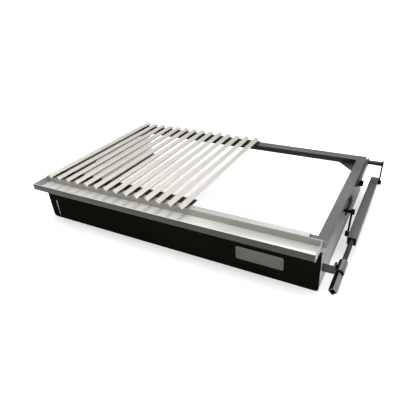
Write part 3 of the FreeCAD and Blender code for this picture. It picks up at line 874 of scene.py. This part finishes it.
# %% [markdown]
# ## The case
#
# The front panel and the side plates are flat sheet, so their own solids are good enough: they
# keep them, with softened edges.  The panel's side returns get the lighter side-sheet grey as
# painted light, and the plates' inner faces, which see the pale ground, are painted lighter as
# painted light.

# %% Case
dress("panel", 0.6, "front_panel")
# The panel's side returns get the lighter side-sheet grey as painted light.
paint_where(NODES["front_panel"], "side", lambda n, c: abs(n.x) > 0.9)
for side, inward in (("left", 1), ("right", -1)):
    dress("side", 0.5, "side_plate_" + side)
    # The inner faces get a lighter steel as painted light from the pale ground.
    paint_where(NODES["side_plate_" + side], "inner", lambda n, c: n.x * inward > 0.5)
    dress("black", 0.8, "shaft_bearing_" + side)
    dress("black", 0.6, "front_pivot_bearing_" + side)
dress("plate", 0.4, "name_plate")
dress("turned", 0.5, "name_plate_rivets")
low, high = corners("front_panel")
print("front panel in mm:", np.round((high - low) / MM, 1))

# %% [markdown]
# ## Bracket and strap
#
# A flat bar carries the sleeve of the drive, and a strap holds the front pivot.  Faces
# that look down or away from the lamp are painted black, because in the photograph
# they fall into deep shade that the soft light of the studio doesn't give.

# %% Bracket and strap
STRAP_GREY_END = 26 * MM
BRACKET_WELD_X = 1.0 * MM
BRACKET_WELD_Y = (0.5 * MM, 5.5 * MM)
BRACKET_WELD_R = 1.4 * MM

dress("bracket", 0.8, "sleeve_bracket")
paint_where(NODES["sleeve_bracket"], "black",
            lambda n, c: n.z < -0.5 or n.x > 0.5 or n.y > 0.5)
dress("black", 0.7, "pivot_strap")
dress("frame", 0.5, "strap_spacer")
strap_end = corners("pivot_strap")[1][1] - STRAP_GREY_END
paint_where(NODES["pivot_strap"], "frame", lambda n, c: c.y > strap_end)
low, high = corners("sleeve_bracket")
for number, z in enumerate((low[2], high[2])):
    x = low[0] + BRACKET_WELD_X
    bead = weld_bead("bracket_weld_%d" % number, (x, low[1] + BRACKET_WELD_Y[0], z),
                     (x, low[1] + BRACKET_WELD_Y[1], z), BRACKET_WELD_R)
    place(bead, "case", "weld")
print("bracket length in mm:", round((high[0] - low[0]) / MM, 1))

# %% [markdown]
# ## Lifting gear
#
# Arms, links and cranks are made as flat bars with round ends, cut from plate.  Their
# solids have this shape already, so they only need soft edges and a coat.

# %% Lifting gear
dress("black", 0.7, "drive_crank", "front_arm_left", "front_arm_right", "front_link")
# The rear arms get a darker copy of the frame's grey as painted shade.
dress("arm", 0.7, "rear_arm_left", "rear_arm_right")
dress("spindle", 0.8, "lift_shaft")
dress("black", 0.8, "front_shaft_left", "front_shaft_right")
dress("black", 0.5, "crank_pin", "link_pin")
low, high = corners("drive_crank")
print("crank in mm:", np.round((high - low) / MM, 1))

# %% [markdown]
# ## The drive tube
#
# The tube that the screw pulls is square, and open at its front.  It is darker toward its rear
# end, and its left face, away from the light, is painted black as shade.

# %% Drive tube
DRIVE_CORNER = 2.0 * MM
TUBE_REAR_DARK = 0.52           # the share of its tone that the rear end keeps

low, high = corners("pull_tube")
tube = hollow_tube("pull_tube_skin", low, high, "y", TUBE_WALL, DRIVE_CORNER)
place(tube, "pull_tube_body", "tube", "pull_tube")
# The left face gets black as painted shade.
paint_where(tube, "black", lambda n, c: n.x < -0.5)
dress("black", 0.5, "tube_nut")
tree = MAT["tube"].node_tree
# The tube is darker toward its rear end.
retone(MAT["tube"], spread(tree, object_axes(tree)["Y"], 0.0, 1.0, low[1], high[1]), TUBE_REAR_DARK)
print("drive tube length in mm:", round((high[1] - low[1]) / MM, 1))

# %% [markdown]
# ## The screw
#
# The spindle carries a round thread.  A bump map would leave a smooth outline, and the
# screw is seen from the side, so the thread is real: a cylinder whose radius runs
# r(a, y) = r0 - depth * (0.5 + 0.5 * cos(a - 2 pi y / lead)), with lead 4 mm, the same
# lead that the joints use.  Both parameters are grids, and the surface is one array.

# %% Screw spindle
THREAD_LEAD = 4.0 * MM
THREAD_DEPTH = 0.9 * MM
THREAD_SIDES = 36
ROWS_PER_TURN = 8
PLAIN_PAST_SLEEVE = 4 * MM     # the thread begins this far behind the sleeve
THREAD_RUN_IN = 4 * MM
THREAD_RUN_OUT = 2 * MM

low, high = corners("screw_spindle")
radius = (high[0] - low[0]) / 2
thread_from = corners("sleeve")[1][1] + PLAIN_PAST_SLEEVE
rows = int((high[1] - low[1]) / (THREAD_LEAD / ROWS_PER_TURN))
angles = np.arange(THREAD_SIDES) * 2 * math.pi / THREAD_SIDES
yy, aa = np.meshgrid(np.linspace(low[1], high[1], rows + 1), angles, indexing="ij")
groove = 0.5 + 0.5 * np.cos(aa - 2 * math.pi * yy / THREAD_LEAD)
fade = np.clip((yy - thread_from) / THREAD_RUN_IN, 0, 1)
fade = fade * np.clip((high[1] - yy) / THREAD_RUN_OUT, 0, 1)
rr = radius - THREAD_DEPTH * groove * fade
points = np.stack([(low[0] + high[0]) / 2 + rr * np.cos(aa), yy,
                   (low[2] + high[2]) / 2 + rr * np.sin(aa)], axis=2).reshape(-1, 3)
spindle = make_piece("spindle_thread", points, rod_faces(rows, THREAD_SIDES), smooth_angle=60)
place(spindle, "spindle_body", "spindle", "screw_spindle")
print("turns of thread:", round((high[1] - thread_from) / THREAD_LEAD))

# %% [markdown]
# ## Sleeve and socket
#
# The sleeve and the square socket are short turned and drawn pieces.  Their shaded sides and the
# inside of the socket's mouth are painted black as shade, by the way each face looks, as on the
# bracket.

# %% Sleeve and socket
dress("sleeve", 0.7, "sleeve")
# The sleeve's left side gets black as painted shade.
paint_where(NODES["sleeve"], "black", lambda n, c: n.x < -0.35)
dress("black", 0.4, "swivel_pin")
dress("black", 0.8, "thrust_collar")
dress("socket", 0.8, "crank_socket")
socket = NODES["crank_socket"]
low, high = corners("crank_socket")
socket_x = (low[0] + high[0]) / 2
# The socket's left faces get black as painted shade.
paint_where(socket, "black", lambda n, c: n.x < -0.3 and c.x < socket_x)
# The inner walls of the socket's mouth get black as painted shade.
paint_where(socket, "black", lambda n, c: abs(n.y) < 0.5 and (c.x - socket_x) * n.x < 0)
print("socket width in mm:", round((high[0] - low[0]) / MM, 1))

# %% [markdown]
# ## The ground
#
# The photograph has a white ground that runs out of the picture on all sides.  A
# stronger lamp would burn out the pale bars, so the ground itself glows, a little near
# the grill, where it keeps the shadow, and more far from it.

# %% Ground
GROUND_REACH = 70.0
GROUND_GLOW = (0.30, 0.62)     # near the grill and far from it, so that the ground stays white
GLOW_RANGE = (1.3, 3.5)        # distances between which the glow grows

scene = bpy.context.scene
ground_z = first_bounds[0][2]
ground_corners = [(x * GROUND_REACH, y * GROUND_REACH, ground_z)
                  for x, y in ((-1, -1), (1, -1), (1, 1), (-1, 1))]
floor = make_piece("ground", ground_corners, [(0, 1, 2, 3)], closed=False)
mat, tree, shader = new_material("ground_pale")
shader.inputs["Base Color"].default_value = (0.95, 0.95, 0.95, 1.0)
shader.inputs["Roughness"].default_value = 0.9
shader.inputs["Emission Color"].default_value = (1.0, 1.0, 1.0, 1.0)
coord = tree.nodes.new("ShaderNodeTexCoord")
distance = tree.nodes.new("ShaderNodeVectorMath")
distance.operation = "LENGTH"
tree.links.new(coord.outputs["Object"], distance.inputs[0])
glow = spread(tree, distance.outputs["Value"], *GROUND_GLOW, *GLOW_RANGE)
tree.links.new(glow, shader.inputs["Emission Strength"])
floor.data.materials.append(mat)
print("ground height:", round(float(ground_z), 4))

# %% [markdown]
# ## The sky
#
# The world is a soft dome, white overhead and grey at the horizon.  It gives steel
# something to mirror that changes with height, as the walls of a studio do.

# %% Sky
SKY_STRENGTH = 0.62

world = bpy.data.worlds.new("studio")
scene.world = world
world.use_nodes = True
sky = world.node_tree
background = sky.nodes["Background"]
coord = sky.nodes.new("ShaderNodeTexCoord")
split = sky.nodes.new("ShaderNodeSeparateXYZ")
sky.links.new(coord.outputs["Generated"], split.inputs["Vector"])
sky.links.new(ramp(sky, spread(sky, split.outputs["Z"], 0.0, 1.0, 0.0, 0.8),
                   [(0.0, (0.30, 0.30, 0.31)), (1.0, (1.0, 1.0, 1.02))]),
              background.inputs["Color"])
background.inputs["Strength"].default_value = SKY_STRENGTH
print("sky strength:", SKY_STRENGTH)

# %% [markdown]
# ## Lamps
#
# Four large lamps light the grill: one broad lamp overhead does most of the work, and
# weaker ones from the left, the right and behind keep the edges readable.  Large lamps
# give the soft shadows of a light tent.

# %% Lamps
def set_axes(obj, right, up, forward, position):
    """Turns an object so that it looks along forward, and sets it at a position."""
    matrix = np.eye(4)
    matrix[:3, 0] = right
    matrix[:3, 1] = up
    matrix[:3, 2] = -forward
    matrix[:3, 3] = position
    obj.matrix_world = Matrix(matrix.tolist())


def area_light(name, position, aim, size_x, size_y, power):
    """A rectangular lamp at a position, turned to the point it aims at."""
    data = bpy.data.lights.new(name, "AREA")
    data.shape = "RECTANGLE"
    data.size = size_x
    data.size_y = size_y
    data.energy = power
    obj = bpy.data.objects.new(name, data)
    scene.collection.objects.link(obj)
    direction = np.array(aim, float) - np.array(position, float)
    forward = direction / np.linalg.norm(direction)
    right = np.cross(forward, [0, 0, 1])
    right /= np.linalg.norm(right)
    set_axes(obj, right, np.cross(right, forward), forward, position)


area_light("key", (-1.6, -1.4, 2.4), (0, 0, 0.1), 1.6, 1.6, 12)
area_light("fill", (2.2, -0.6, 1.8), (0.2, 0, 0.1), 1.4, 1.4, 12)
area_light("top", (0.1, 0.1, 2.6), (0.1, 0.11, 0.1), 3.0, 3.0, 66)
area_light("back", (0.3, 2.2, 1.7), (0, 0.1, 0.1), 2.2, 0.9, 14)
print("lamps:", len(bpy.data.lights))

# %% [markdown]
# ## The camera
#
# The camera was solved from the photograph: it stands in front of the right end and
# looks down at the grill.  Its place is counted from the left end of the tray.

# %% Camera
PHOTO_SIDE = 416.0             # the photograph's side in pixels
FOCAL = 390.5                  # focal length in pixels
CENTRE = (222.4, 205.4)        # the pixel that the camera looks straight at
RIGHT = np.array([0.88953, 0.45432, -0.04834])
DOWN = np.array([0.19705, -0.47696, -0.85655])
FORWARD = np.array([-0.41221, 0.75240, -0.51379])
FROM_TRAY = np.array([1.1650, -0.7603, 0.6044])
SENSOR = 36.0

low, high = corners("tray_end_left")
camera_data = bpy.data.cameras.new("camera")
camera = bpy.data.objects.new("camera", camera_data)
scene.collection.objects.link(camera)
set_axes(camera, RIGHT, -DOWN, FORWARD, np.array([low[0], low[1], high[2]]) + FROM_TRAY)
camera_data.sensor_width = SENSOR
camera_data.lens = SENSOR * FOCAL / PHOTO_SIDE
camera_data.shift_x = (PHOTO_SIDE / 2 - CENTRE[0]) / PHOTO_SIDE
camera_data.shift_y = (CENTRE[1] - PHOTO_SIDE / 2) / PHOTO_SIDE
camera_data.clip_end = 200.0
scene.camera = camera
scene.view_settings.view_transform = "Standard"
scene.view_settings.look = "None"
scene.view_settings.exposure = 0.0
print("focal length in mm:", round(camera_data.lens, 2))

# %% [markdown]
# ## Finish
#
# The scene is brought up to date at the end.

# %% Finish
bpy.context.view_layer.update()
